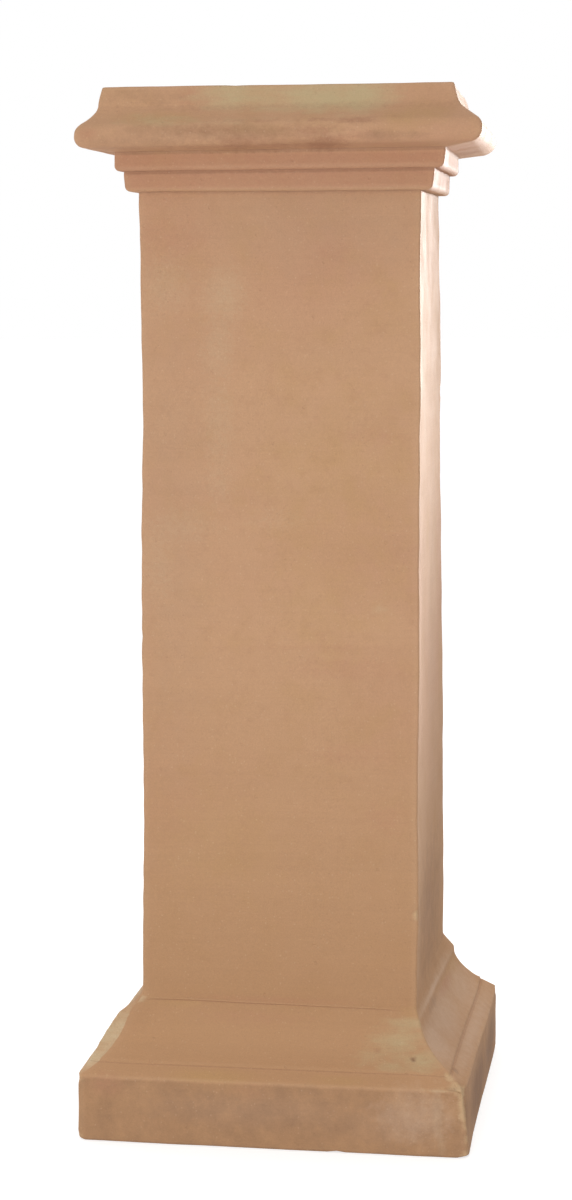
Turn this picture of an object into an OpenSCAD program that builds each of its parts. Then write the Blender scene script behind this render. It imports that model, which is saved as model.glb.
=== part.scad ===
// Square pedestal column in terracotta. One hollow piece, pressed in a mould and fired: a plinth,
// a coved base, a plain shaft that narrows a little upwards, and a cap of two fillets under a
// bull-nosed cornice and a flat top. The cap sits a few degrees round on the plinth, because the
// clay turned as it dried. It is open below and closed on top.
// Millimetres, +Z up, origin at the centre of the underside.

/* [Shaft] */
// Width of the shaft at its foot
shaft_w = 287.6; // [240:0.2:400]
// Height of the shaft between the base and the cap
shaft_h = 826; // [400:1:1400]
// How much each face of the shaft leans in towards the head
shaft_taper = 2.3; // [0:0.1:10]

/* [Plinth] */
// Height of the plinth's upright face
plinth_h = 69; // [40:1:140]
// How far the sloping top of the plinth runs in to the scored line
wash_out = 16.5; // [6:0.5:40]
// Rise of the sloping top of the plinth
wash_h = 11; // [3:0.5:30]

/* [Base moulding] */
// Step in behind the scored line
quirk_out = 2; // [1:0.5:6]
// Height of that step
quirk_h = 3; // [1:0.5:8]
// How far the cove stands out from the bead to the step
cove_out = 26; // [10:0.5:60]
// Height of the cove
cove_h = 37; // [20:0.5:80]
// Depth of the cove's hollow below the straight line between its edges
cove_dip = 5; // [0.5:0.5:8]
// How far the bead stands out from the shaft
bead_out = 11.7; // [6:0.1:20]
// Height of the bead's upright face
bead_h = 7.5; // [5:0.5:20]
// Rise from the bead up to the shaft
shoulder_h = 16.5; // [8:0.5:30]

/* [Cap] */
// How far the lower fillet stands out from the head of the shaft
lower_fillet_out = 12.3; // [5:0.1:30]
// Height of the lower fillet
lower_fillet_h = 20; // [10:0.5:40]
// How far the upper fillet stands out from the lower one
upper_fillet_out = 10; // [5:0.1:30]
// Height of the upper fillet
upper_fillet_h = 19; // [10:0.5:40]
// How far the nose stands out from the upper fillet
nose_out = 36.2; // [20:0.1:60]
// Rise of the underside of the nose
soffit_h = 5.8; // [0:0.1:15]
// Height of the nose between its two rounded edges
nose_h = 18.2; // [17:0.1:40]
// How far the slope above the nose runs in to the top band
slope_in = 22; // [14:0.5:36]
// Rise of that slope
slope_h = 17; // [10:0.5:36]
// Height of the top band
band_h = 23; // [10:0.5:60]
// How much the top band leans in
band_lean = 4.6; // [0:0.1:12]

/* [Turn] */
// How far round the shaft stands on the plinth, in degrees
shaft_turn = 1.25; // [-3:0.25:3]
// How far round the cap stands on the plinth, in degrees
cap_turn = 2.75; // [-4:0.25:4]

/* [Walls] */
// Thickness of the wall round the plinth
plinth_wall = 34; // [24:1:50]
// Thickness of the shaft's wall
shaft_wall = 30; // [20:1:45]
// Thickness of the clay behind the nose
nose_wall = 52; // [40:1:70]
// Thickness of the closed top
top_wall = 34; // [20:1:50]

/* [Edges] */
// Cut across the upright corners of the plinth, shaft and cap
arris_cut = 1.6; // [0.5:0.1:3]
// Rounding of the plinth's edges
plinth_edge_r = 3; // [1:0.5:5]
// Rounding of the lower edges of both fillets
fillet_edge_r = 4; // [1:0.5:4.5]
// Rounding of the nose
nose_r = 11; // [4:0.5:11.5]
// Rounding of the hollow between the slope and the top band
hollow_r = 9; // [2:0.5:12]
// Rounding of the bead, above and where it meets the shaft
bead_r = 7; // [2:0.5:9]
// Rounding of the top edge
top_edge_r = 2; // [1:0.5:4]

/* [Hidden] */

clay = [0.72, 0.53, 0.41];
arc_steps = 7;        // straight pieces to each rounded corner
cove_steps = 12;      // straight pieces to the cove
overlap = 8;          // how far the shaft runs on inside the base and the cap
clear = 1;            // how far the hollow runs on below the underside

// Heights of the joins between the mouldings
wash_z = plinth_h + wash_h;
cove_z = wash_z + quirk_h;
bead_z = cove_z + cove_h;
shoulder_z = bead_z + bead_h;
foot_z = shoulder_z + shoulder_h;
head_z = foot_z + shaft_h;
upper_fillet_z = head_z + lower_fillet_h;
soffit_z = upper_fillet_z + upper_fillet_h;
nose_z = soffit_z + soffit_h;
slope_z = nose_z + nose_h;
band_z = slope_z + slope_h;
top_z = band_z + band_h;

// Half-widths, from the shaft outwards
foot_x = shaft_w / 2;
head_x = foot_x - shaft_taper;
bead_x = foot_x + bead_out;
cove_x = bead_x + cove_out;
quirk_x = cove_x + quirk_out;
plinth_x = quirk_x + wash_out;
lower_fillet_x = head_x + lower_fillet_out;
upper_fillet_x = lower_fillet_x + upper_fillet_out;
nose_x = upper_fillet_x + nose_out;
band_x = nose_x - slope_in;
top_x = band_x - band_lean;
reach = 3 * max(plinth_x, nose_x);

// Half-width of the tapering shaft at height z
function shaft_x(z) = foot_x - shaft_taper * (z - foot_z) / shaft_h;

function unit(v) = v / norm(v);

// Unit vector at an angle
function ray(angle) = [cos(angle), sin(angle)];

// Corner b of the path a, b, c, rounded to radius r
function rounded(a, b, c, r) =
    let (
        back = unit(a - b),
        ahead = unit(c - b),
        half = acos(back * ahead) / 2,
        centre = b + unit(back + ahead) * r / sin(half),
        first = b + back * r / tan(half) - centre,
        turn = (180 - 2 * half) * sign(cross(b - a, c - b)),
        start = atan2(first.y, first.x)
    )
    [for (i = [0:arc_steps]) centre + r * ray(start + turn * i / arc_steps)];

// Hollow arc from a to b that dips by the given depth on its left-hand side
function hollow(a, b, dip) =
    let (
        chord = norm(b - a),
        r = (chord * chord / 4 + dip * dip) / (2 * dip),
        along = unit(b - a),
        left = [-along.y, along.x],
        centre = (a + b) / 2 + left * (dip - r),
        spread = 2 * asin(chord / 2 / r),
        start = atan2(a.y - centre.y, a.x - centre.x)
    )
    [for (i = [0:cove_steps]) centre + r * ray(start - spread * i / cove_steps)];

// Rounding where the bead's shoulder meets the shaft
foot_rounding = rounded([bead_x, shoulder_z], [foot_x, foot_z], [foot_x, head_z], bead_r);

// Half-profile of the base, from the middle of the underside up and back to the middle
base_profile = concat(
    [[0, 0]],
    rounded([0, 0], [plinth_x, 0], [plinth_x, plinth_h], plinth_edge_r),
    rounded([plinth_x, 0], [plinth_x, plinth_h], [quirk_x, wash_z], plinth_edge_r),
    [[quirk_x, wash_z]],
    hollow([cove_x, cove_z], [bead_x, bead_z], cove_dip),
    rounded([bead_x, bead_z], [bead_x, shoulder_z], [foot_x, foot_z], bead_r),
    foot_rounding,
    [[0, foot_rounding[arc_steps].y]]
);

shaft_profile = [
    [0, foot_z - overlap],
    [shaft_x(foot_z - overlap), foot_z - overlap],
    [shaft_x(head_z + overlap), head_z + overlap],
    [0, head_z + overlap]
];

// Half-profile of the cap, from the middle of its underside up and back to the middle
cap_profile = concat(
    [[0, head_z]],
    rounded([0, head_z], [lower_fillet_x, head_z], [lower_fillet_x, upper_fillet_z], fillet_edge_r),
    [[lower_fillet_x, upper_fillet_z]],
    rounded([lower_fillet_x, upper_fillet_z], [upper_fillet_x, upper_fillet_z],
        [upper_fillet_x, soffit_z], fillet_edge_r),
    [[upper_fillet_x, soffit_z]],
    rounded([upper_fillet_x, soffit_z], [nose_x, nose_z], [nose_x, slope_z], nose_r),
    rounded([nose_x, nose_z], [nose_x, slope_z], [band_x, band_z], nose_r),
    rounded([nose_x, slope_z], [band_x, band_z], [top_x, top_z], hollow_r),
    rounded([band_x, band_z], [top_x, top_z], [0, top_z], top_edge_r),
    [[0, top_z]]
);

// Half-profile of the hollow inside: wide in the plinth, a shaft's wall away from the faces, and
// wide again behind the nose
inside_foot_x = foot_x - shaft_wall;
inside_head_x = head_x - shaft_wall;
inside_profile = [
    [0, -clear],
    [plinth_x - plinth_wall, -clear],
    [plinth_x - plinth_wall, plinth_h - plinth_wall / 2],
    [inside_foot_x, bead_z],
    [inside_head_x, upper_fillet_z],
    [nose_x - nose_wall, nose_z],
    [nose_x - nose_wall, top_z - top_wall],
    [0, top_z - top_wall]
];

// Full width of a half-profile, drawn across a square's flats or, widened, across its corners
function across(profile, widen, cut) = [for (p = profile) [p.x > 0 ? p.x * widen - cut : 0, p.y]];
function both_sides(half) =
    concat(half, [for (i = [len(half) - 1:-1:0]) if (half[i].x > 0) [-half[i].x, half[i].y]]);

// Bar with a moulding's profile, seen end on from the front
module bar(half) {
    rotate([90, 0, 0])
        linear_extrude(height = reach, center = true)
            polygon(both_sides(half));
}

// Square course with the same profile on all four sides, mitred at its corners
module square_course(profile) {
    intersection() {
        bar(across(profile, 1, 0));
        rotate([0, 0, 90]) bar(across(profile, 1, 0));
        rotate([0, 0, 45]) bar(across(profile, sqrt(2), arris_cut));
        rotate([0, 0, -45]) bar(across(profile, sqrt(2), arris_cut));
    }
}

// Hollow with the same profile on all four sides and sharp corners
module square_hollow(profile) {
    intersection() {
        bar(profile);
        rotate([0, 0, 90]) bar(profile);
    }
}

module column() {
    color(clay)
        difference() {
            union() {
                square_course(base_profile);
                rotate([0, 0, shaft_turn]) square_course(shaft_profile);
                rotate([0, 0, cap_turn]) square_course(cap_profile);
            }
            rotate([0, 0, shaft_turn]) square_hollow(inside_profile);
        }
}

column();
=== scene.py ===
import math

import bpy
import numpy as np
from mathutils import Matrix, Vector, noise


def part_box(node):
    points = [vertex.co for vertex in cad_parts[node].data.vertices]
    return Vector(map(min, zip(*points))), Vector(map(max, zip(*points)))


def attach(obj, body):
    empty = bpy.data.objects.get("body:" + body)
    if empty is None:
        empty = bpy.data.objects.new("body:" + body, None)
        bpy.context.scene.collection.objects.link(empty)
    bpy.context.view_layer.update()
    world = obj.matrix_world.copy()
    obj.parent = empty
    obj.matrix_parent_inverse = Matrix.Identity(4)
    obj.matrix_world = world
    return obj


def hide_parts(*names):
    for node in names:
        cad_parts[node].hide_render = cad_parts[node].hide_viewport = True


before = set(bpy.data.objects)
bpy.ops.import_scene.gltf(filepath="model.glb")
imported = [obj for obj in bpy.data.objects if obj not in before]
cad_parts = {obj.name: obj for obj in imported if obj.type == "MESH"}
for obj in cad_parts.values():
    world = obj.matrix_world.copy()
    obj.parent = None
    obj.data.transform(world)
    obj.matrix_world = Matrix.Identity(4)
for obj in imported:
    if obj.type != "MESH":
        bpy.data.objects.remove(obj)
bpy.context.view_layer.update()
node_low, node_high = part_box("column")
underside_z, top_z = node_low.z, node_high.z

# ---------------------------------------------------------------------------------------------
# The plinth: the square foot, 400 mm across, with a sloping wash on its top edge.
# It is tan clay, pressed by hand into the lowest part of the mould. A scored line ends the wash.

plinth_half, plinth_h = 0.200, 0.069
wash_in, wash_h = 0.0165, 0.011
underside_edge_r, plinth_edge_r = 0.0038, 0.0026
score_depth, score_width = 0.0009, 0.0008
plinth_gap = 0.0026  # between the rows of points up its side

plinth_z = underside_z + plinth_h
wash_z = plinth_z + wash_h
quirk_half = plinth_half - wash_in


def direction(v):
    """The same way as v, one metre long."""
    return v / np.linalg.norm(v)


def rounded(a, b, c, radius, steps):
    """Corner b of the profile a, b, c, worked round to a radius."""
    a, b, c = (np.array(p, float) for p in (a, b, c))
    back, ahead = direction(a - b), direction(c - b)
    half_angle = math.acos(np.clip(back @ ahead, -1, 1)) / 2
    centre = b + direction(back + ahead) * radius / math.sin(half_angle)
    first = b + back * radius / math.tan(half_angle) - centre
    leg_in, leg_out = b - a, c - b
    side = math.copysign(1, leg_in[0] * leg_out[1] - leg_in[1] * leg_out[0])
    turn = side * (math.pi - 2 * half_angle)
    start = math.atan2(first[1], first[0])
    angles = start + turn * np.arange(steps + 1) / steps
    return [centre + radius * np.array((math.cos(t), math.sin(t))) for t in angles]


def stepped(points, gap):
    """The same line with points added wherever two are further apart than the gap."""
    points = [np.array(p, float) for p in points]
    line = [points[0]]
    for end in points[1:]:
        begin = line[-1]
        count = max(1, math.ceil(np.linalg.norm(end - begin) / gap - 1e-6))
        line += [begin + (end - begin) * k / count for k in range(1, count + 1)]
    return line


plinth_profile = stepped(
    rounded((0, underside_z), (plinth_half, underside_z), (plinth_half, plinth_z), underside_edge_r, 4)
    + rounded((plinth_half, underside_z), (plinth_half, plinth_z), (quirk_half, wash_z), plinth_edge_r, 4)
    + [(quirk_half + score_width, wash_z - score_width * wash_h / wash_in)],
    plinth_gap,
)
score_profile = [
    (quirk_half + 0.2 * score_width, wash_z - 0.6 * score_depth),
    (quirk_half - 0.9 * score_width, wash_z - 0.7 * score_depth),
    (quirk_half - 1.3 * score_width, wash_z + 0.4 * score_depth),
]
# Where wet clay was wiped over it, the score is level with the clay on both sides.
filled_profile = [
    (quirk_half + 0.4 * score_width, wash_z - 0.2 * score_depth),
    (quirk_half - 0.3 * score_width, wash_z + 0.3 * score_depth),
    (quirk_half - 0.9 * score_width, wash_z + 1.1 * score_depth),
]

# ---------------------------------------------------------------------------------------------
# The base moulding: a hollow cove that rises from the wash to a small bead and a shoulder.
# It comes out of the mould with the plinth. Hands and a wet sponge wore the front bead to a flare.

quirk_in, quirk_h = 0.002, 0.003
cove_in, cove_h, cove_dip = 0.026, 0.037, 0.005
bead_in, bead_h, bead_r = 0.0117, 0.0075, 0.0065
shoulder_h = 0.0165
flare_dip, flare_low_in, flare_top_drop = 0.0062, 0.0015, 0.009
cove_gap = 0.0019

cove_z = wash_z + quirk_h
bead_z = cove_z + cove_h
shoulder_z = bead_z + bead_h
foot_z = shoulder_z + shoulder_h
cove_half = quirk_half - quirk_in
bead_half = cove_half - cove_in
shaft_half = bead_half - bead_in


def hollowed(a, b, dip, steps):
    """Hollow sweep from a to b, with the given dip at its middle."""
    a, b = np.array(a, float), np.array(b, float)
    chord = np.linalg.norm(b - a)
    radius = (chord * chord / 4 + dip * dip) / (2 * dip)
    along_chord = direction(b - a)
    centre = (a + b) / 2 + np.array((-along_chord[1], along_chord[0])) * (dip - radius)
    spread = 2 * math.asin(chord / 2 / radius)
    start = math.atan2(a[1] - centre[1], a[0] - centre[0])
    angles = start - spread * np.arange(steps + 1) / steps
    return [centre + radius * np.array((math.cos(t), math.sin(t))) for t in angles]


def walked(line):
    """How far along a line each of its points is."""
    return np.concatenate(([0], np.cumsum(np.linalg.norm(np.diff(np.array(line), axis=0), axis=1))))


cove_profile = stepped(
    hollowed((cove_half, cove_z), (bead_half, bead_z), cove_dip, 20)
    + rounded((bead_half, bead_z), (bead_half, shoulder_z), (shaft_half, foot_z), bead_r, 7)
    + rounded((bead_half, shoulder_z), (shaft_half, foot_z), (shaft_half, foot_z + cove_h), bead_r, 5),
    cove_gap,
)
# The flare has as many points as the crisp moulding, spaced along it in the same way.
flare = hollowed((cove_half - flare_low_in, cove_z), (shaft_half, foot_z - flare_top_drop), flare_dip, 50)
flare.append(np.array((shaft_half, cove_profile[-1][1])))
flare_run = walked(flare)
flare_stops = walked(cove_profile) / walked(cove_profile)[-1] * flare_run[-1]
flare_profile = [
    np.array([np.interp(stop, flare_run, np.array(flare)[:, k]) for k in (0, 1)]) for stop in flare_stops
]

# ---------------------------------------------------------------------------------------------
# The shaft: four plain boards of clay, joined at the corners, that lean in a little to the head.
# Rows of points stand closer together at the foot, at the head and at the nick in one corner.

shaft_h, shaft_taper = 0.826, 0.0023
nick_z, nick_reach = underside_z + 0.235, 0.012
foot_gap, nick_gap, head_gap, plain_gap = 0.0034, 0.0026, 0.0030, 0.0080

head_z = foot_z + shaft_h
head_half = shaft_half - shaft_taper
shaft_stops = [
    (cove_profile[-1][1] + 0.010, foot_gap),
    (nick_z - nick_reach, plain_gap),
    (nick_z + nick_reach, nick_gap),
    (head_z - 0.012, plain_gap),
    (head_z, head_gap),
]
shaft_profile = [cove_profile[-1]]
for stop_z, gap in shaft_stops:
    stop_half = shaft_half - shaft_taper * (stop_z - foot_z) / shaft_h
    shaft_profile += stepped([shaft_profile[-1], (stop_half, stop_z)], gap)[1:]
del shaft_profile[0]

# ---------------------------------------------------------------------------------------------
# The cap: two square fillets that step out, a heavy bull nose, and a flat band above its hollow.
# It is one with the shaft. The top is a plain flat slab, for a pot, an urn or a bust.

lower_fillet_out, lower_fillet_h = 0.0123, 0.020
upper_fillet_out, upper_fillet_h = 0.0100, 0.019
fillet_lean, fillet_edge_r = 0.0006, 0.0055
nose_out, soffit_h, nose_h = 0.0362, 0.0058, 0.0182
nose_low_r, nose_high_r = 0.011, 0.014
slope_in, slope_h, hollow_r = 0.022, 0.017, 0.013
band_lean, top_edge_r = 0.0046, 0.0022
cap_gap = 0.0022

upper_fillet_z = head_z + lower_fillet_h
soffit_z = upper_fillet_z + upper_fillet_h
nose_z = soffit_z + soffit_h
slope_z = nose_z + nose_h
band_z = slope_z + slope_h
lower_fillet_half = head_half + lower_fillet_out
upper_fillet_half = lower_fillet_half + upper_fillet_out
nose_half = upper_fillet_half + nose_out
band_half = nose_half - slope_in
top_half = band_half - band_lean


def fillet(inner_half, outer_half, low_z, high_z):
    """A square step whose lower edge is rubbed round."""
    low, high = (outer_half - fillet_lean, low_z), (outer_half + fillet_lean, high_z)
    return rounded((inner_half, low_z), low, high, fillet_edge_r, 6) + [high]


cap_profile = stepped(
    fillet(head_half, lower_fillet_half, head_z, upper_fillet_z)
    + fillet(lower_fillet_half, upper_fillet_half, upper_fillet_z, soffit_z)
    + rounded((upper_fillet_half, soffit_z), (nose_half, nose_z), (nose_half, slope_z), nose_low_r, 10)
    + rounded((nose_half, nose_z), (nose_half, slope_z), (band_half, band_z), nose_high_r, 7)
    + rounded((nose_half, slope_z), (band_half, band_z), (top_half, top_z), hollow_r, 6)
    + rounded((band_half, band_z), (top_half, top_z), (0, top_z), top_edge_r, 3),
    cap_gap,
)
# The rings on the top, from beside its edge in to the middle, as shares of its width.
top_shares = np.append(0.965, np.linspace(0.92, 0.08, 14))
top_profile = [(top_half * share, top_z) for share in top_shares]

# ---------------------------------------------------------------------------------------------
# The inside: the wall follows the outside, wide in the plinth, straight in the shaft, and wide
# again behind the nose. It is open below, rough from the fingers that pressed it, and never seen.

plinth_wall, shaft_wall, nose_wall, top_wall = 0.034, 0.030, 0.052, 0.034
rim_edge, last_half = 0.008, 0.012
inside_gap = 0.055
inside_stops = [
    (plinth_half - rim_edge, underside_z, 0),
    (plinth_half - plinth_wall, underside_z, 0.006),
    (plinth_half - plinth_wall, plinth_z - plinth_wall / 2, 0.020),
    (shaft_half - shaft_wall, bead_z, 0.020),
    (head_half - shaft_wall, upper_fillet_z, 0.010),
    (nose_half - nose_wall, nose_z, 0.010),
    (nose_half - nose_wall, top_z - top_wall, 0.018),
    (last_half, top_z - top_wall, 0),
]
inside_profile = [inside_stops[0][:2]]
for before, stop, after in zip(inside_stops, inside_stops[1:], inside_stops[2:]):
    inside_profile += rounded(before[:2], stop[:2], after[:2], stop[2], 3)
inside_profile = stepped(inside_profile + [inside_stops[-1][:2]], inside_gap)

# ---------------------------------------------------------------------------------------------
# The clay body: base, shaft and cap are one hollow piece of clay, pressed in a mould, dried and fired.
# Square rings of points go from the closed top down the inside, over the rim and up the outside.
# They crowd towards the corners, where the mitres, the wavy arrises and the chips are.

flat_steps, corner_steps, crowding = 56, 6, 0.42
share_u = np.linspace(-1, 1, flat_steps + 1)
crowded_u = share_u * (1 + crowding - crowding * share_u**2)
corner_angles = np.linspace(0, math.pi / 2, corner_steps + 1)[1:-1]
ring_u = np.tile(np.concatenate((crowded_u, np.ones(corner_steps - 1))), 4)
ring_bend = np.tile(np.concatenate((np.zeros(flat_steps + 1), corner_angles)), 4)
columns = len(ring_u)
ring_side = np.repeat(np.arange(4), columns // 4)  # 0 front, 1 right, 2 back, 3 left
# Place round the column: 0 at the front left corner, 1 front right, 2 back right, 3 back left.
corner_share = 0.012
straight_place = (corner_share + (ring_u + 1) * (1 - corner_share)) / 2
place = ring_side + straight_place + ring_bend / math.pi * 2 * corner_share

inside = np.array(inside_profile[::-1])
crisp = np.array(plinth_profile + score_profile + cove_profile + shaft_profile + cap_profile + top_profile)
rubbed = np.array(plinth_profile + filled_profile + flare_profile + shaft_profile + cap_profile + top_profile)
score_first = len(inside) + len(plinth_profile)
cove_first = score_first + len(score_profile)
shaft_first = cove_first + len(cove_profile)
top_first = shaft_first + len(shaft_profile) + len(cap_profile)
profile = np.concatenate((inside, crisp))
worn = np.concatenate((inside, rubbed))
rings = len(profile)
up = profile[:, 1:2]
outside = np.ones((rings, 1))
outside[: len(inside)] = 0


def by_place(*stops):
    """A value that changes round the column, from (place, value) stops."""
    return np.interp(place, *zip(*stops))


def by_level(*stops):
    """A value that changes up the outside, from (height, value) stops."""
    return outside * np.interp(up, *zip(*stops))


def hump(low, middle, high):
    """1 at the middle height, easing to 0 at the low and the high one, on the outside only."""
    return outside * np.cos(np.interp(up, [low, middle, high], [-1, 0, 1]) * math.pi / 2) ** 2


# How far each part of the base moulding is rubbed, from 0, crisp, to 1.
wear = np.zeros((rings, columns))
wear[score_first:cove_first] = by_place(
    (0, 0.8), (0.3, 0.85), (0.55, 0.95), (0.98, 1), (1.03, 0.3), (2, 0.3), (3.7, 0.1), (3.93, 1), (4, 1)
)
wear[cove_first:shaft_first] = by_place(
    (0, 0.5), (0.04, 0.85), (0.1, 1), (0.97, 1), (1.03, 0.9), (1.15, 0.72), (1.5, 0.5),
    (1.8, 0.34), (1.95, 0.12), (2.2, 0.05), (3, 0.05), (3.975, 0.1), (4, 0.5),
)
half = profile[:, 0:1] + (worn[:, 0:1] - profile[:, 0:1]) * wear
level = profile[:, 1:2] + (worn[:, 1:2] - profile[:, 1:2]) * wear

# The left wash swells upwards near the front, where slip ran down on it.
wash_swell = 0.0024
swell_place = by_place((3.3, 0), (3.5, 1), (3.87, 1), (3.96, 0))
level += hump(plinth_z - 0.012, plinth_z + 0.003, cove_z + 0.010) * swell_place * wash_swell
# The left cove was filled out with that slip, almost to a straight slope.
slip_place = by_place((3.05, 0), (3.3, 0.6), (3.9, 0.74), (3.96, 1), (3.973, 1), (4, 0))
half += slip_place * by_level(
    (plinth_z - 0.002, 0), (wash_z, 0.0076), (cove_z + 0.006, 0.0138), (cove_z + 0.014, 0.0174),
    (cove_z + 0.024, 0.0176), (bead_z - 0.002, 0.0145), (bead_z + 0.005, 0.0106),
    (shoulder_z + 0.003, 0.0040), (foot_z - 0.006, 0.0006), (foot_z + 0.003, 0),
)
# It also thickens the front left mitre, up to the bead and the shoulder.
half += by_place((0, 1), (0.06, 0), (3.965, 0), (4, 1)) * by_level(
    (wash_z, 0), (cove_z + 0.006, 0.0040), (cove_z + 0.014, 0.0058), (cove_z + 0.026, 0.0068),
    (bead_z, 0.0070), (shoulder_z + 0.003, 0.0056), (foot_z - 0.004, 0.0020), (foot_z + 0.004, 0),
)
# The cove is more hollow at the front right corner and fuller at the one behind it.
cove_middle_z = (cove_z + bead_z) / 2
hollow_place = by_place((0.8, 0), (0.99, -0.0022), (1.1, -0.0015), (1.5, 0))
half += hump(wash_z, cove_middle_z, shoulder_z) * hollow_place
full_place = by_place((1.5, 0), (1.95, 0.0022), (2.2, 0.0014), (2.6, 0))
half += hump(wash_z, cove_z + 0.012, bead_z + 0.004) * full_place
# The plinth splays at its foot, most of all at the front right, and its top edge is drawn in there.
splay_place = by_place((0, 0.0012), (1, 0.0040), (2, -0.0012), (3, 0), (4, 0.0012))
half += hump(underside_z - plinth_h, underside_z, plinth_z) * splay_place
drawn_place = by_place((0.85, 0), (1, -0.0016), (1.15, 0), (1.6, 0), (2, -0.0018), (2.6, 0))
half += hump(underside_z, plinth_z, cove_z) * drawn_place
# The shaft's far right corner stands out a little, and its front left one sinks twice.
half += by_place((1.5, 0), (2, 1), (2.5, 0)) * by_level(
    (foot_z, 0.0015), (foot_z + 0.21, 0.0023), (foot_z + 0.36, 0.0012), (head_z, 0.0006), (head_z + 0.004, 0)
)
half += by_place((0, 1), (0.2, 0), (3.8, 0), (4, 1)) * by_level(
    (foot_z + 0.05, 0), (foot_z + 0.17, -0.0014), (foot_z + 0.37, 0), (foot_z + 0.62, -0.0016),
    (head_z - 0.035, 0), (head_z - 0.012, 0.0012), (upper_fillet_z - 0.003, 0.0016),
    (upper_fillet_z + 0.002, 0.0004), (soffit_z, -0.0004),
)
# The nose was pressed fuller towards the front right corner and the far one, and flatter at the left.
nose_place = by_place((0, -0.0005), (0.5, 0.0003), (1, 0.0026), (2, 0.0058), (3, 0), (4, -0.0005))
half += hump(soffit_z, slope_z, top_z) * nose_place
shy_place = by_place((0, -0.0021), (0.4, -0.001), (0.8, 0), (3.4, 0), (4, -0.0021))
half += hump(slope_z - 0.005, slope_z + 0.0065, band_z + 0.001) * shy_place
band_place = by_place((0, 0.0017), (0.3, 0), (3.7, 0), (4, 0.0017))
half += hump(slope_z + 0.008, band_z + 0.010, top_z + 0.020) * band_place

# The cap sags a little to the left, and the plinth is taller at its far right corner: how far each
# corner, from the front left one round, is lifted at a few heights, in millimetres.
mm = 0.001
lifts = [
    (underside_z, 0, 0, 0, 0),
    (plinth_z, 0, 0, 2.0, 0.5),
    (wash_z, 0, 0, 2.2, 0.5),
    (bead_z, 0, 0, 0.4, 0),
    (head_z - 0.012, 0, 0, 0, 0),
    (head_z, 0, 0, 1.2, 0.4),
    (upper_fillet_z, 0, 1.6, 3.0, 0.8),
    (soffit_z, -0.4, 2.0, 3.0, 0.6),
    (nose_z, -2.0, 1.8, 3.0, -0.4),
    (slope_z, -0.6, 2.4, 0.6, -0.2),
    (band_z, -0.6, 2.0, 1.0, -0.4),
    (top_z, -1.0, 0.1, 0.2, -0.6),
]
lift_z = [row[0] for row in lifts]
lift = np.zeros_like(half)
for corner in range(4):
    nearness = np.clip(1 - np.abs((place - corner + 2) % 4 - 2), 0, 1)
    lift += np.interp(up, lift_z, [row[corner + 1] * mm for row in lifts]) * nearness
top_lift = lift[-1].mean()
lift[top_first:] = top_lift + (lift[top_first:] - top_lift) * (profile[top_first:, 0:1] / top_half)
level += outside * lift

# The upright corners are rubbed round, most on the plinth and the nose.
corner_r = np.interp(
    up,
    [underside_z, plinth_z - 0.004, wash_z, bead_z, foot_z, head_z, soffit_z, nose_z, slope_z, band_z, top_z],
    [0.0045, 0.0036, 0.0028, 0.0026, 0.0028, 0.0024, 0.0020, 0.0040, 0.0044, 0.0026, 0.0020],
) * by_place((0, 1), (1, 1), (2, 0.7), (3, 1), (4, 1))
inside_corner_r, inside_corner_most, corner_most = 0.012, 0.2, 0.4
inside_r = np.minimum(inside_corner_r, inside_corner_most * profile[:, 0:1])
corner_r = np.minimum(np.where(outside > 0, corner_r, inside_r), corner_most * profile[:, 0:1])


def ripple(seed, waves, size):
    """Slow waviness along a length, from a few sine waves, about as high as the size given."""
    wave_count, fullness = 5, 1.6
    draw = np.random.default_rng(seed)
    lengths = draw.uniform(*waves, wave_count)
    starts = draw.uniform(0, 2 * math.pi, wave_count)
    heights = draw.uniform(0.5, 1, wave_count)
    heights *= size / heights.sum() * fullness

    def at(s):
        return sum(h * np.sin(2 * math.pi * s / w + t) for h, w, t in zip(heights, lengths, starts))

    return at


# Wavy arrises: each upright corner wanders by about a millimetre. The faces swell and sink softly.
arris_reach = 0.030
from_corner = np.minimum(half * (1 - np.abs(ring_u)), half)
near_corner = np.exp(-((from_corner / arris_reach) ** 2))
corner_index = np.where(ring_u > 0, ring_side, (ring_side - 1) % 4)
for corner in range(4):
    slow = ripple(20 + corner, (0.16, 0.42), 0.0010)
    quick = ripple(40 + corner, (0.03, 0.08), 0.00028)
    half += outside * (corner_index == corner) * (slow(level) + quick(level)) * near_corner
for side in range(4):
    across_wave = ripple(60 + side, (0.30, 0.70), 0.0007)
    up_wave = ripple(70 + side, (0.20, 0.60), 0.0007)
    half += outside * (ring_side == side) * (across_wave(ring_u * 0.2) + up_wave(level)) * (1 - near_corner)

# Each ring's outline as if on the front, how far along and how far out, and then on its own side.
along = np.where(ring_bend > 0, half - corner_r + corner_r * np.sin(ring_bend), ring_u * (half - corner_r))
out = np.where(ring_bend > 0, half - corner_r + corner_r * np.cos(ring_bend), half)
side_turn = ring_side * math.pi / 2
x = along * np.cos(side_turn) + out * np.sin(side_turn)
y = along * np.sin(side_turn) - out * np.cos(side_turn)

# The clay turned as it dried: hardly at the foot, most at the cap.
turn_levels = [underside_z, plinth_z, foot_z, head_z, soffit_z, top_z]
turn_angles = np.radians([0, 0, 0.4, 2.1, 2.75, 2.8])
turned = np.interp(level, turn_levels, turn_angles)
x, y = x * np.cos(turned) - y * np.sin(turned), x * np.sin(turned) + y * np.cos(turned)
points = np.stack((x, y, level), axis=2)

round_step = np.roll(points, -1, axis=1) - np.roll(points, 1, axis=1)
normals = np.cross(round_step, np.gradient(points, axis=0))
normals /= np.maximum(np.linalg.norm(normals, axis=2, keepdims=True), 1e-12)


def clay_noise(scale, seed):
    """Smooth noise over the surface, with lumps of about the size given, in metres."""
    offset = Vector((seed * 7.31, seed * 3.17, seed * 1.73))
    spots = points.reshape(-1, 3) / scale
    return np.array([noise.noise(Vector(p) + offset) for p in spots]).reshape(rings, columns)


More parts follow.
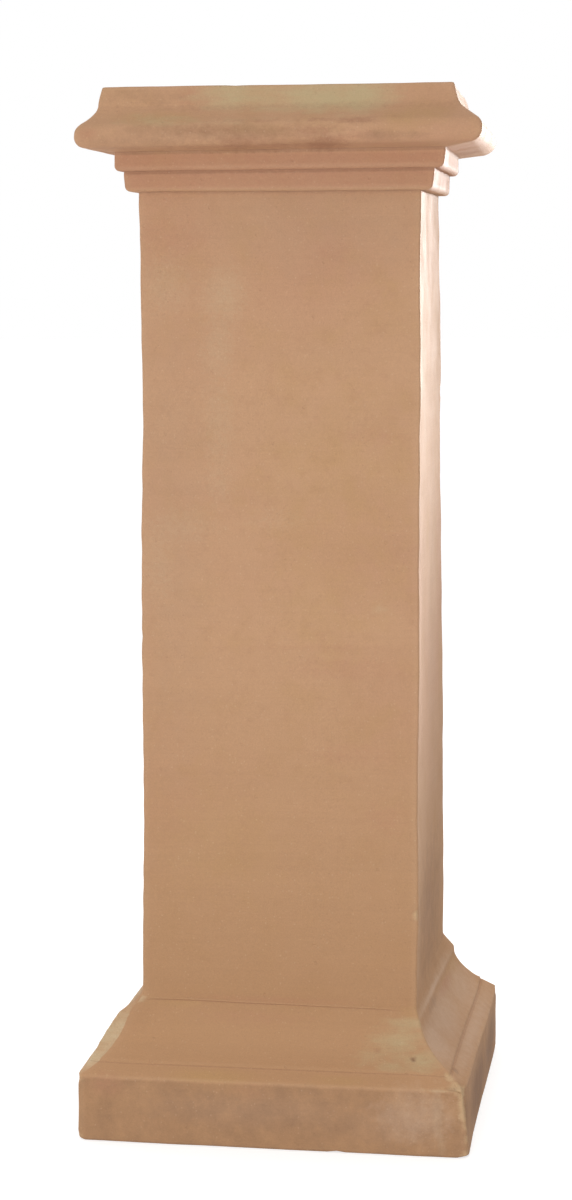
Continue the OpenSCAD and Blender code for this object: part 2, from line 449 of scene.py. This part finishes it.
lumps, grit, fingers = clay_noise(0.055, 1), clay_noise(0.016, 2), clay_noise(0.045, 3)
lump_h, grit_h, finger_h = 0.00042, 0.00016, 0.0022
relief = outside * (lump_h * lumps + grit_h * grit) + (1 - outside) * finger_h * fingers
relief = np.where(up < underside_z + 1e-5, 0, relief)

# Knocks and crumbled spots: X, Y and height of the middle, how wide and how deep, in millimetres.
knocks = [
    (199, -199, 67, 8, 3.4), (192, -199, 70, 6, 2.0), (199, -189, 69, 7, 2.4), (185, -197, 72, 5, 1.6),
    (199, -200, 56, 8, 2.6), (200, -200, 44, 7, 2.2), (200, -200, 33, 6, 1.3), (201, -201, 20, 5, 1.2),
    (183, -184, 80, 6, 2.4), (177, -198, 70, 4, 1.0), (190, -191, 74, 6, 2.2), (172, -186, 76, 4, 0.9),
    (143, -143, 235, 5, 2.0), (143, -143, 412, 4, 0.8), (-144, -143, 520, 5, 0.8), (69, -200, 2, 3, 2.2),
    (-199, -199, 66, 5, 1.2), (-170, -200, 70, 4, 0.8), (145, -165, 91, 2.6, 1.8), (200, 196, 66, 5, 1.2),
    (-200, 120, 69, 7, 1.6), (60, 200, 68, 6, 1.3), (-142, 143, 640, 7, 1.7), (142, 141, 760, 5, 1.0),
    (-200, -200, 3, 5, 1.4), (202, -202, 3, 6, 1.8), (200, 200, 4, 6, 1.4), (-200, 200, 4, 9, 2.6),
    (-190, 70, 1032, 6, 1.1), (80, 200, 1030, 7, 1.3), (-40, -173, 1073, 5, 0.7), (-173, -60, 1073, 6, 1.0),
]
knock_brim, knock_raggedness = 1.4, 0.35
knocked = np.zeros_like(half)
for knock_x, knock_y, knock_up, wide, deep in knocks:
    knock_z = underside_z + knock_up * mm
    knock_turn = np.interp(knock_z, turn_levels, turn_angles)
    middle = np.array(Matrix.Rotation(knock_turn, 3, "Z") @ Vector((knock_x * mm, knock_y * mm, knock_z)))
    away = np.linalg.norm(points - middle, axis=2) / (wide * mm) * (1 + knock_raggedness * grit)
    knocked = np.maximum(knocked, outside * np.clip(knock_brim - away, 0, 1) * deep * mm)
relief -= knocked

# Round them, the plinth's front right corner has crumbled.
crumb_middle, crumb_reach, crumb_deep = (0.196, -0.196, plinth_z), 0.016, 0.0022
crumb_away = np.linalg.norm(points - np.array(crumb_middle), axis=2)
crumbs = np.clip(0.5 + 1.6 * clay_noise(0.0055, 4), 0, 1)
relief -= outside * np.exp(-((crumb_away / crumb_reach) ** 2)) * crumbs * crumb_deep
points += normals * relief[:, :, None]
points[:, :, 2] = np.maximum(points[:, :, 2], underside_z)

vertices = [tuple(p) for p in points.reshape(-1, 3)]
faces = []
for ring in range(rings - 1):
    base, above = ring * columns, (ring + 1) * columns
    for k in range(columns):
        right = (k + 1) % columns
        faces.append((base + k, base + right, above + right, above + k))
for ring, upwards in ((0, False), (rings - 1, True)):
    vertices.append(tuple(points[ring].mean(axis=0)))
    hub, base = len(vertices) - 1, ring * columns
    for k in range(columns):
        right = (k + 1) % columns
        faces.append((base + k, base + right, hub) if upwards else (base + right, base + k, hub))

clay_mesh = bpy.data.meshes.new("column_clay")
clay_mesh.from_pydata(vertices, [], faces)
clay_mesh.shade_smooth()
clay_body = bpy.data.objects.new("column_clay", clay_mesh)
bpy.context.scene.collection.objects.link(clay_body)

# Where the clay is worn, dirty or stained, or where shade is painted, kept with the mesh as a share from 0 to
# 1 at each point.
# Edges rub pale, and the inner corners are darkened with painted shade, less so where the bead is worn away;
# the inside gets a little painted shade too.
turn_reach, full_turn = 0.0022, 0.9
edge_reach, knock_full, inside_painted_shade = 0.004, 0.0020, 0.35
headings = np.unwrap(np.arctan2(*np.diff(profile, axis=0).T[::-1]))
run = walked(profile)
middles = (run[:-1] + run[1:]) / 2
bend = np.interp(run + turn_reach, middles, headings) - np.interp(run - turn_reach, middles, headings)
bend = outside * np.clip(bend[:, None] / full_turn, -1, 1) * (1 - wear)
marks = {
    "edge": np.maximum(np.clip(bend, 0, 1), outside * np.exp(-((from_corner / edge_reach) ** 2))),
    "painted_corner_shade": np.maximum(np.clip(-bend, 0, 1), inside_painted_shade * (1 - outside)),
    "knocked": np.clip(knocked / knock_full, 0, 1),
}

# Each patch: side (0 front, 1 right, 2 back, 3 left), how far along it from its middle, height,
# reach along and reach up, in millimetres, and strength. Along grows anticlockwise from above.
patches = {
    "bloom": [
        (0, -45, 1063, 44, 18, 0.80), (0, 0, 1062, 46, 16, 0.70), (0, 42, 1061, 60, 17, 0.95),
        (0, 82, 1060, 36, 18, 1.0), (0, 14, 1052, 70, 9, 0.50), (0, -108, 1038, 52, 8, 0.45),
        (0, -30, 1038, 50, 7, 0.30), (0, 128, 104, 34, 20, 0.62), (0, 152, 90, 24, 12, 0.66),
        (0, 104, 92, 30, 9, 0.45), (0, 140, 122, 34, 7, 0.60), (0, 120, 84, 20, 5, 0.5),
        (1, -60, 1058, 60, 14, 0.50), (2, 60, 1060, 80, 14, 0.75), (2, -90, 1040, 50, 9, 0.45),
        (2, -70, 96, 60, 18, 0.50), (3, -30, 1062, 70, 12, 0.65), (3, -60, 98, 70, 16, 0.50),
    ],
    "smoke": [
        (0, 46, 1015, 28, 8, 0.78), (0, -36, 1016, 32, 9, 0.66), (0, -30, 1011, 90, 5, 0.45),
        (0, 4, 1015, 50, 7, 0.54), (0, 80, 1036, 26, 3.5, 0.62), (0, 42, 1037, 14, 3, 0.50),
        (0, 0, 1021, 96, 9, 0.42), (0, -60, 1026, 56, 10, 0.40), (0, 30, 1028, 66, 8, 0.36),
        (0, -70, 1016, 60, 12, 0.36), (0, -20, 1036, 60, 3, 0.36), (0, 112, 1040, 18, 2, 0.35),
        (2, -30, 1014, 60, 8, 0.6), (3, 80, 1013, 40, 8, 0.4), (1, 60, 1013, 50, 6, 0.4),
        (0, 106, 97, 5, 3, 0.45),
    ],
    "pale": [
        (0, -56, 866, 25, 34, 0.70), (0, -62, 815, 21, 52, 0.56), (0, -62, 740, 21, 78, 0.48),
        (0, -60, 680, 19, 40, 0.46), (0, -118, 876, 34, 34, 0.50), (0, -100, 634, 50, 26, 0.42),
        (0, 0, 640, 50, 18, 0.36), (0, -124, 600, 22, 60, 0.42), (0, 103, 552, 9, 7, 0.62),
        (0, 172, 44, 6, 28, 0.9), (0, 178, 14, 4, 16, 0.8), (1, -60, 760, 20, 110, 0.5),
        (2, -40, 800, 18, 120, 0.7), (2, 80, 540, 30, 80, 0.4), (3, 50, 700, 22, 140, 0.6),
        (3, -90, 420, 26, 60, 0.4),
    ],
    "lime": [
        (3, 90, 100, 130, 34, 1.0), (3, 170, 82, 40, 12, 0.9), (0, -148, 138, 9, 4, 0.8),
        (0, 176, 68, 24, 2.5, 0.45), (0, 194, 72, 7, 6, 0.55), (1, -192, 70, 7, 6, 0.55),
        (2, 150, 90, 30, 16, 0.4),
    ],
    # Pale dust; the strokes on the right side at 127 and 128 mm, along the bead's ridge, are a painted
    # highlight.
    "dust_and_painted_highlight": [
        (1, -130, 98, 60, 20, 0.95), (1, -30, 100, 110, 22, 0.85), (1, 90, 96, 90, 22, 0.75),
        (1, 0, 76, 200, 7, 0.85), (1, -20, 127, 170, 4, 0.9), (1, -100, 128, 70, 8, 0.55),
        (1, 60, 128, 110, 8, 0.55), (0, 150, 42, 48, 34, 0.62), (2, 90, 84, 80, 10, 0.4),
    ],
    "cool": [
        (0, -110, 640, 50, 330, 0.50), (0, 40, 950, 170, 70, 0.60), (0, -20, 40, 120, 22, 0.70),
        (0, 120, 30, 60, 26, 0.60), (1, 20, 500, 60, 260, 0.5), (2, -60, 500, 70, 300, 0.6),
        (3, 60, 480, 60, 320, 0.6), (1, -80, 104, 80, 30, 0.6),
    ],
    "ochre": [
        (0, -60, 72, 50, 6, 0.9), (0, 70, 73, 34, 5, 0.6), (0, 136, 1040, 44, 18, 0.6),
        (0, 148, 132, 22, 9, 0.6), (0, 104, 876, 36, 10, 0.45), (0, 60, 640, 100, 170, 0.50),
        (0, -110, 134, 40, 6, 0.5), (2, 20, 72, 60, 5, 0.5), (0, -110, 1040, 60, 10, 0.6),
        (0, 0, 1030, 190, 9, 0.40), (0, -60, 300, 100, 80, 0.4), (0, -24, 930, 14, 12, 0.4),
        (2, 0, 300, 120, 120, 0.5), (1, 120, 116, 50, 10, 0.6),
    ],
    "rose": [
        (0, -80, 1060, 22, 9, 0.6), (0, 40, 1026, 18, 6, 0.6), (0, -186, 1025, 12, 8, 0.7),
        (0, 90, 1020, 50, 8, 0.5), (0, -30, 122, 90, 12, 0.4), (0, -10, 140, 130, 6, 0.5),
        (0, 54, 908, 24, 18, 0.42), (0, -110, 925, 50, 26, 0.48), (0, -20, 60, 30, 16, 0.4),
        (0, 90, 726, 60, 12, 0.40), (0, 40, 508, 120, 5, 0.50), (0, 70, 488, 80, 16, 0.45),
        (0, 77, 400, 64, 16, 0.42), (0, 110, 335, 34, 26, 0.42), (0, -170, 60, 22, 14, 0.7),
        (2, 90, 1026, 40, 6, 0.5), (1, 0, 900, 120, 60, 0.4), (2, 30, 700, 90, 40, 0.5),
        (1, 40, 112, 60, 7, 0.7),
    ],
    # Soil, and painted shade on the right side: the strong patches on its plinth, the one under its bead at
    # 117 mm, and the broad one at 210 mm that darkens the face towards its foot.
    "soil_and_painted_shade": [
        (0, -172, 42, 20, 20, 0.62), (0, -130, 24, 50, 16, 0.50), (0, 20, 28, 80, 16, 0.55),
        (0, -40, 50, 40, 8, 0.4), (1, -60, 30, 150, 36, 1.0), (1, 100, 30, 110, 36, 0.95),
        (2, 0, 24, 150, 26, 0.6), (3, 40, 26, 130, 26, 0.6), (0, 144, 91, 2.5, 2.5, 1.0),
        (1, -50, 117, 40, 7, 0.6), (1, 0, 210, 150, 90, 0.52), (0, -50, 1026, 150, 10, 0.52),
        (0, -140, 1018, 70, 14, 0.42), (0, -130, 1062, 60, 14, 0.36), (0, 110, 1022, 60, 7, 0.40),
        (1, -190, 40, 30, 34, 0.7), (0, 188, 71, 8, 2, 0.9), (1, -160, 78, 6, 3, 0.8),
    ],
}

# On the top, the way in from its edge counts as height.
climb = level - underside_z
climb[top_first:] += top_half - profile[top_first:, 0:1]
spot_firmness = 1.15
for name, spots in patches.items():
    mark = np.zeros_like(half)
    for side, middle_along, middle_up, reach_along, reach_up, strength in spots:
        off_along = (along - middle_along * mm) / (reach_along * mm)
        off_up = (climb - middle_up * mm) / (reach_up * mm)
        spot = strength * np.exp(-((off_along**2 + off_up**2) ** spot_firmness))
        mark = np.maximum(mark, np.where(ring_side == side, spot, 0))
    marks[name] = outside * mark

# The plinth is soiled all round and the fillets are pinker.
fade, plinth_soil, fillet_rose = 0.004, 0.47, 0.80
on_plinth = outside * np.clip((plinth_z + 0.001 - level) / fade, 0, 1)
on_fillets = outside * np.clip((level - head_z) / fade, 0, 1) * np.clip((soffit_z - level) / fade, 0, 1)
marks["soil_and_painted_shade"] = np.maximum(marks["soil_and_painted_shade"], plinth_soil * on_plinth)
marks["rose"] = np.maximum(marks["rose"], fillet_rose * on_fillets)
# The top is weathered in soft patches.
on_top = np.zeros_like(half)
on_top[top_first:] = 1
marks["bloom"] = np.maximum(marks["bloom"], on_top * np.clip(0.26 + 0.8 * fingers, 0, 0.50))
marks["soil_and_painted_shade"] = np.maximum(marks["soil_and_painted_shade"], on_top * np.clip(0.14 - 0.7 * lumps, 0, 0.36))

# A thin seam where the mould of the base met the mould of the shaft, lower towards the right.
# seam_up is the height above it in millimetres, and seam is how far it shows.
seam_z, seam_fall, seam_wander = underside_z + 0.1362, 0.011, 0.0006
marks["seam"] = outside * by_place(
    (0, 0), (0.05, 1), (0.88, 0.8), (0.95, 0), (2, 0), (2.1, 0.7), (3.9, 0.6), (4, 0)
)
marks["seam_up"] = (level - seam_z + seam_fall * along + seam_wander * lumps) * 1000

for name, mark in marks.items():
    at_hubs = (0.0, 0.0)
    at_points = np.append(mark.reshape(-1), at_hubs).astype(np.float32)
    clay_mesh.attributes.new(name, "FLOAT", "POINT").data.foreach_set("value", at_points)

# ---------------------------------------------------------------------------------------------
# Fired terracotta, unglazed and dry to the touch.
# Tan clay that drifts between pink and ochre, with fine grit in it, level drag lines from the
# mould and the wet sponge, small pits, and the blooms, smoke marks, dirt, painted shade and painted
# highlights kept with the mesh.


def srgb(red, green, blue):
    """A colour from 0 to 255 a channel, as the shader takes it."""
    channels = (c / 255 for c in (red, green, blue))
    return tuple(c / 12.92 if c <= 0.04045 else ((c + 0.055) / 1.055) ** 2.4 for c in channels) + (1,)


terracotta = bpy.data.materials.new("terracotta")
terracotta.use_nodes = True
links = terracotta.node_tree.links
nodes = terracotta.node_tree.nodes
surface = nodes["Principled BSDF"]
on_clay = nodes.new("ShaderNodeTexCoord").outputs["Object"]


def feed(socket, value):
    """Link a value to a socket, or set the socket where the value is plain."""
    if isinstance(value, bpy.types.NodeSocket):
        links.new(value, socket)
    else:
        socket.default_value = value


def stretched(scale):
    """Places on the clay, scaled by a different amount each way."""
    mapping = nodes.new("ShaderNodeMapping")
    feed(mapping.inputs["Vector"], on_clay)
    feed(mapping.inputs["Scale"], scale)
    return mapping.outputs["Vector"]


def clouds(scale, detail, roughness, vector=on_clay):
    """Soft noise from 0 to 1, with about as many lumps to a metre as the scale."""
    texture = nodes.new("ShaderNodeTexNoise")
    for key, value in (("Scale", scale), ("Detail", detail), ("Roughness", roughness), ("Vector", vector)):
        feed(texture.inputs[key], value)
    return texture.outputs["Fac"]


def between(value, low, high, bottom=0.0, top=1.0):
    """The value taken from low..high to bottom..top, held at both ends."""
    ranged = nodes.new("ShaderNodeMapRange")
    keys = ("Value", "From Min", "From Max", "To Min", "To Max")
    for key, number in zip(keys, (value, low, high, bottom, top)):
        feed(ranged.inputs[key], number)
    return ranged.outputs["Result"]


def worked(first, operation, second):
    """One step of arithmetic."""
    step = nodes.new("ShaderNodeMath")
    step.operation = operation
    feed(step.inputs[0], first)
    feed(step.inputs[1], second)
    return step.outputs[0]


def mark_of(name):
    """A mark kept with the mesh."""
    reader = nodes.new("ShaderNodeAttribute")
    reader.attribute_name = name
    return reader.outputs["Fac"]


def over(under, tint, amount):
    """The colour under, with a share of the tint over it."""
    mix = nodes.new("ShaderNodeMix")
    mix.data_type = "RGBA"
    feed(mix.inputs["Factor"], amount)
    feed(mix.inputs["A"], under)
    feed(mix.inputs["B"], tint)
    return mix.outputs["Result"]


drift = clouds(5.5, 2, 0.5)
mottle = clouds(22, 4, 0.6)
blotch = clouds(75, 5, 0.65)
fine_grit = clouds(620, 3, 0.75)
drag_lines = clouds(1.0, 3, 0.7, stretched((6, 6, 320)))
broad_lines = clouds(1.0, 2, 0.5, stretched((3, 3, 46)))

tan_clay, pink_clay = srgb(196, 153, 118), srgb(192, 146, 115)
ochre_mottle, brown_blotch = srgb(191, 150, 110), srgb(184, 140, 107)
colour = over(tan_clay, pink_clay, between(drift, 0.46, 0.72))
colour = over(colour, ochre_mottle, between(mottle, 0.50, 0.70, 0, 0.55))
colour = over(colour, brown_blotch, between(blotch, 0.52, 0.78, 0, 0.55))

# The foot of the shaft and the base are browner than its middle, and the flare is paler again.
brown_foot, pale_flare = srgb(180, 138, 100), srgb(196, 152, 113)
brown_from_z, brown_full_z = underside_z + 0.54, underside_z + 0.14
height = nodes.new("ShaderNodeSeparateXYZ")
feed(height.inputs[0], on_clay)
height_z = height.outputs["Z"]
colour = over(colour, brown_foot, between(height_z, brown_from_z, brown_full_z, 0, 0.86))
colour = over(colour, pale_flare, between(height_z, foot_z - 0.005, cove_z + 0.020, 0, 0.40))

# Noises that break up the outline of a stain.
ragged = between(clouds(48, 5, 0.7), 0, 1, -0.42, 0.42)
finely_ragged = between(clouds(160, 4, 0.7, stretched((1, 1, 1.6))), 0, 1, -0.42, 0.42)
streaked = between(clouds(1.0, 5, 0.72, stretched((36, 36, 130))), 0, 1, -0.55, 0.55)
speckled = between(clouds(260, 4, 0.8), 0, 1, -0.62, 0.62)
softly_speckled = between(clouds(110, 5, 0.7), 0, 1, -0.45, 0.45)

# Each tint laid over the clay, stains, painted shade and painted highlights among them, from the lowest layer
# up: its mark, its colour, its outline and the most that it covers.
tint_layers = [
    ("cool", srgb(185, 147, 117), ragged, 0.80),
    ("rose", srgb(184, 134, 105), finely_ragged, 0.80),
    ("ochre", srgb(189, 150, 101), ragged, 0.60),
    ("bloom", srgb(191, 170, 131), streaked, 0.90),
    ("pale", srgb(197, 164, 131), speckled, 0.80),
    # soil, and painted shade on the right side's plinth, under its bead and up the foot of its face
    ("soil_and_painted_shade", srgb(141, 107, 81), ragged, 0.92),
    ("smoke", srgb(148, 100, 76), finely_ragged, 0.80),
    # dust, and a painted highlight along the right bead's ridge
    ("dust_and_painted_highlight", srgb(208, 176, 150), softly_speckled, 0.62),
    ("lime", srgb(208, 188, 153), streaked, 0.90),
    # painted shade: a darker tint laid in the inner corners and creases
    ("painted_corner_shade", srgb(138, 98, 76), finely_ragged, 0.40),
    ("edge", srgb(202, 162, 126), ragged, 0.12),
    ("knocked", srgb(208, 175, 135), speckled, 0.70),
]
stain_begins, stain_full = 0.22, 0.95
for name, tint, outline, most in tint_layers:
    broken = worked(mark_of(name), "ADD", outline)
    colour = over(colour, tint, between(broken, stain_begins, stain_full, 0, most))

# The seam: a thin ridge over a fine groove, with a painted highlight on the ridge and a painted shadow in the
# groove.
seam = mark_of("seam")
seam_up = mark_of("seam_up")
from_ridge = worked(worked(seam_up, "SUBTRACT", 0.8), "ABSOLUTE", 0)
ridge = worked(seam, "MULTIPLY", between(from_ridge, 0.9, 0.2))
from_groove = worked(worked(seam_up, "ADD", 0.5), "ABSOLUTE", 0)
groove = worked(seam, "MULTIPLY", between(from_groove, 0.7, 0.15))
painted_ridge_highlight, painted_groove_shadow = srgb(200, 158, 122), srgb(150, 106, 80)
colour = over(colour, painted_ridge_highlight, worked(ridge, "MULTIPLY", 0.35))
colour = over(colour, painted_groove_shadow, worked(groove, "MULTIPLY", 0.45))


def strewn(per_metre):
    """Spots strewn through the clay: the distance from the nearest, and its three random shares."""
    cells = nodes.new("ShaderNodeTexVoronoi")
    feed(cells.inputs["Vector"], on_clay)
    feed(cells.inputs["Scale"], per_metre)
    pick = nodes.new("ShaderNodeSeparateColor")
    feed(pick.inputs[0], cells.outputs["Color"])
    return cells.outputs["Distance"], pick.outputs


# Grog: sparse pale and dark grains of crushed pot in the clay.
grain_away, grain_pick = strewn(330)
grain_dot = between(grain_away, 0.36, 0.16)
pale_grain = worked(grain_dot, "MULTIPLY", between(grain_pick["Red"], 0.82, 0.96, 0, 0.22))
dark_grain = worked(grain_dot, "MULTIPLY", between(grain_pick["Green"], 0.88, 0.98, 0, 0.14))
colour = over(colour, srgb(216, 186, 156), pale_grain)
colour = over(colour, srgb(128, 86, 64), dark_grain)

# Grit and drag lines also show as slightly lighter and darker clay.
grit_shade = between(fine_grit, 0.25, 0.75, 0.93, 1.07)
shade = worked(grit_shade, "MULTIPLY", between(drag_lines, 0.2, 0.8, 0.98, 1.02))
shade = worked(shade, "MULTIPLY", between(broad_lines, 0.25, 0.75, 0.985, 1.015))
toned = nodes.new("ShaderNodeVectorMath")
toned.operation = "SCALE"
feed(toned.inputs[0], colour)
feed(toned.inputs["Scale"], shade)
feed(surface.inputs["Base Color"], toned.outputs[0])

dryness = between(mottle, 0.3, 0.7, 0.80, 0.93)
feed(surface.inputs["Roughness"], worked(dryness, "SUBTRACT", worked(mark_of("edge"), "MULTIPLY", 0.08)))
feed(surface.inputs["Specular IOR Level"], 0.35)

# Relief too fine for the mesh: grit, drag lines, pits and the seam.
pit_away, pit_pick = strewn(110)
pit_dot = between(pit_away, 0.22, 0.08)
pit = worked(pit_dot, "MULTIPLY", between(pit_pick["Blue"], 0.92, 0.95))
skin = worked(worked(fine_grit, "MULTIPLY", 0.6), "ADD", worked(drag_lines, "MULTIPLY", 0.35))
skin = worked(skin, "ADD", worked(blotch, "MULTIPLY", 0.8))
skin = worked(skin, "SUBTRACT", worked(pit, "MULTIPLY", 1.4))
skin = worked(skin, "ADD", worked(worked(ridge, "SUBTRACT", groove), "MULTIPLY", 0.7))
skin_bump = nodes.new("ShaderNodeBump")
feed(skin_bump.inputs["Strength"], 0.55)
feed(skin_bump.inputs["Distance"], 0.0007)
feed(skin_bump.inputs["Height"], skin)
feed(surface.inputs["Normal"], skin_bump.outputs["Normal"])

clay_mesh.materials.append(terracotta)
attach(clay_body, "root")
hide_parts("column")

# ---------------------------------------------------------------------------------------------
# The studio floor: a wide sheet of pale paper, laid flat, on which only the column's shadow shows.
# Seen directly it glows to white where no shadow falls. Other rays meet plain pale paper.

floor_reach = 30
seen_grey, glow_strength, plain_grey = 0.60, 0.64, 0.80
floor_corners = [
    (-floor_reach, -floor_reach, underside_z),
    (floor_reach, -floor_reach, underside_z),
    (floor_reach, floor_reach, underside_z),
    (-floor_reach, floor_reach, underside_z),
]
floor_mesh = bpy.data.meshes.new("floor")
floor_mesh.from_pydata(floor_corners, [], [(0, 1, 2, 3)])
studio_floor = bpy.data.objects.new("floor", floor_mesh)
bpy.context.scene.collection.objects.link(studio_floor)

floor_paper = bpy.data.materials.new("pale_paper")
floor_paper.use_nodes = True
paper_nodes, paper_links = floor_paper.node_tree.nodes, floor_paper.node_tree.links
paper_nodes.clear()


def seen_plainly(tree_nodes, tree_links):
    """1 for rays from the eye, straight or by way of gloss or glass, and 0 for light that bounces."""
    rays = tree_nodes.new("ShaderNodeLightPath")
    seen = rays.outputs["Is Camera Ray"]
    for kind in ("Is Glossy Ray", "Is Transmission Ray"):
        either = tree_nodes.new("ShaderNodeMath")
        either.operation = "MAXIMUM"
        tree_links.new(seen, either.inputs[0])
        tree_links.new(rays.outputs[kind], either.inputs[1])
        seen = either.outputs[0]
    return seen


def paper(grey):
    """Plain matt paper."""
    sheet = paper_nodes.new("ShaderNodeBsdfDiffuse")
    sheet.inputs["Color"].default_value = (grey, grey, grey, 1)
    return sheet.outputs[0]


glow = paper_nodes.new("ShaderNodeEmission")
glow.inputs["Strength"].default_value = glow_strength
glowing_paper = paper_nodes.new("ShaderNodeAddShader")
paper_links.new(paper(seen_grey), glowing_paper.inputs[0])
paper_links.new(glow.outputs[0], glowing_paper.inputs[1])
floor_look = paper_nodes.new("ShaderNodeMixShader")
paper_links.new(seen_plainly(paper_nodes, paper_links), floor_look.inputs[0])
paper_links.new(paper(plain_grey), floor_look.inputs[1])
paper_links.new(glowing_paper.outputs[0], floor_look.inputs[2])
floor_out = paper_nodes.new("ShaderNodeOutputMaterial")
paper_links.new(floor_look.outputs[0], floor_out.inputs["Surface"])
floor_mesh.materials.append(floor_paper)

# ---------------------------------------------------------------------------------------------
# The studio light: a white room, brighter overhead, with broad soft lamps in front, behind and at the
# left. A narrow beam from the far right skims the right-hand face and fades out towards the foot.

room_low, room_high, room_white = 0.31, 0.86, 1.0
room = bpy.data.worlds.new("studio")
bpy.context.scene.world = room
room.use_nodes = True
room_nodes, room_links = room.node_tree.nodes, room.node_tree.links
lit_room = room_nodes["Background"]
lit_room.inputs["Color"].default_value = (1, 1, 1, 1)
room_way = room_nodes.new("ShaderNodeSeparateXYZ")
room_links.new(room_nodes.new("ShaderNodeTexCoord").outputs["Generated"], room_way.inputs[0])
room_level = room_nodes.new("ShaderNodeMapRange")
room_level.inputs["To Min"].default_value = room_low
room_level.inputs["To Max"].default_value = room_high
room_links.new(room_way.outputs["Z"], room_level.inputs["Value"])
room_links.new(room_level.outputs["Result"], lit_room.inputs["Strength"])
seen_room = room_nodes.new("ShaderNodeBackground")
seen_room.inputs["Color"].default_value = (1, 1, 1, 1)
seen_room.inputs["Strength"].default_value = room_white
room_look = room_nodes.new("ShaderNodeMixShader")
room_links.new(seen_plainly(room_nodes, room_links), room_look.inputs[0])
room_links.new(lit_room.outputs[0], room_look.inputs[1])
room_links.new(seen_room.outputs[0], room_look.inputs[2])
room_links.new(room_look.outputs[0], room_nodes["World Output"].inputs["Surface"])


def hung(name, lamp, at, towards):
    """A lamp hung at one place and aimed at another, out of the camera's sight."""
    holder = bpy.data.objects.new(name, lamp)
    holder.location = at
    holder.rotation_euler = (Vector(towards) - Vector(at)).to_track_quat("-Z", "Y").to_euler()
    holder.visible_camera = False
    bpy.context.scene.collection.objects.link(holder)
    return holder


def soft_box(name, size, watts, at, aim_up):
    """A square soft box, aimed at the column's middle at the height given."""
    lamp = bpy.data.lights.new(name, "AREA")
    lamp.size = size
    lamp.energy = watts
    hung(name, lamp, at, (0, 0, underside_z + aim_up))


soft_box("front_soft", 1.5, 24, (-0.10, -2.6, underside_z + 0.66), 0.52)
soft_box("left_soft", 1.2, 13, (-2.3, 0.9, underside_z + 1.3), 0.5)
soft_box("back_soft", 1.2, 20, (0.1, 1.9, underside_z + 2.2), 0.5)

beam_watts, beam_spread, beam_soft_size, beam_narrowing = 520, math.radians(30), 0.05, 0.24
beam_at = (0.66, 2.3, underside_z + 1.06)
beam_towards = (shaft_half + 0.085, 0, underside_z + 0.79)
beam_lamp = bpy.data.lights.new("skim_right", "SPOT")
beam_lamp.energy = beam_watts
beam_lamp.spot_size = beam_spread
beam_lamp.spot_blend = 1.0
beam_lamp.shadow_soft_size = beam_soft_size
beam = hung("skim_right", beam_lamp, beam_at, beam_towards)
beam.scale.x = beam_narrowing  # tall and narrow, so that it stays off the back

# ---------------------------------------------------------------------------------------------
# The camera: a long lens on a stand, near the height of the cap and a little to the right.
# It looks down slightly, so the plinth shows from above and the cap's top doesn't show.

lens_mm, yaw, pitch, roll = 80.0, -0.1555, 0.1242, -0.0043
camera_at = (0.4271, -2.8017, underside_z + 0.8946)
camera_data = bpy.data.cameras.new("camera")
camera_data.lens = lens_mm
camera = bpy.data.objects.new("camera", camera_data)
bpy.context.scene.collection.objects.link(camera)
bpy.context.scene.camera = camera
camera.matrix_world = (
    Matrix.Translation(camera_at)
    @ Matrix.Rotation(-yaw, 4, "Z")
    @ Matrix.Rotation(math.pi / 2 - pitch, 4, "X")
    @ Matrix.Rotation(roll, 4, "Z")
)
bpy.context.scene.view_settings.view_transform = "Standard"
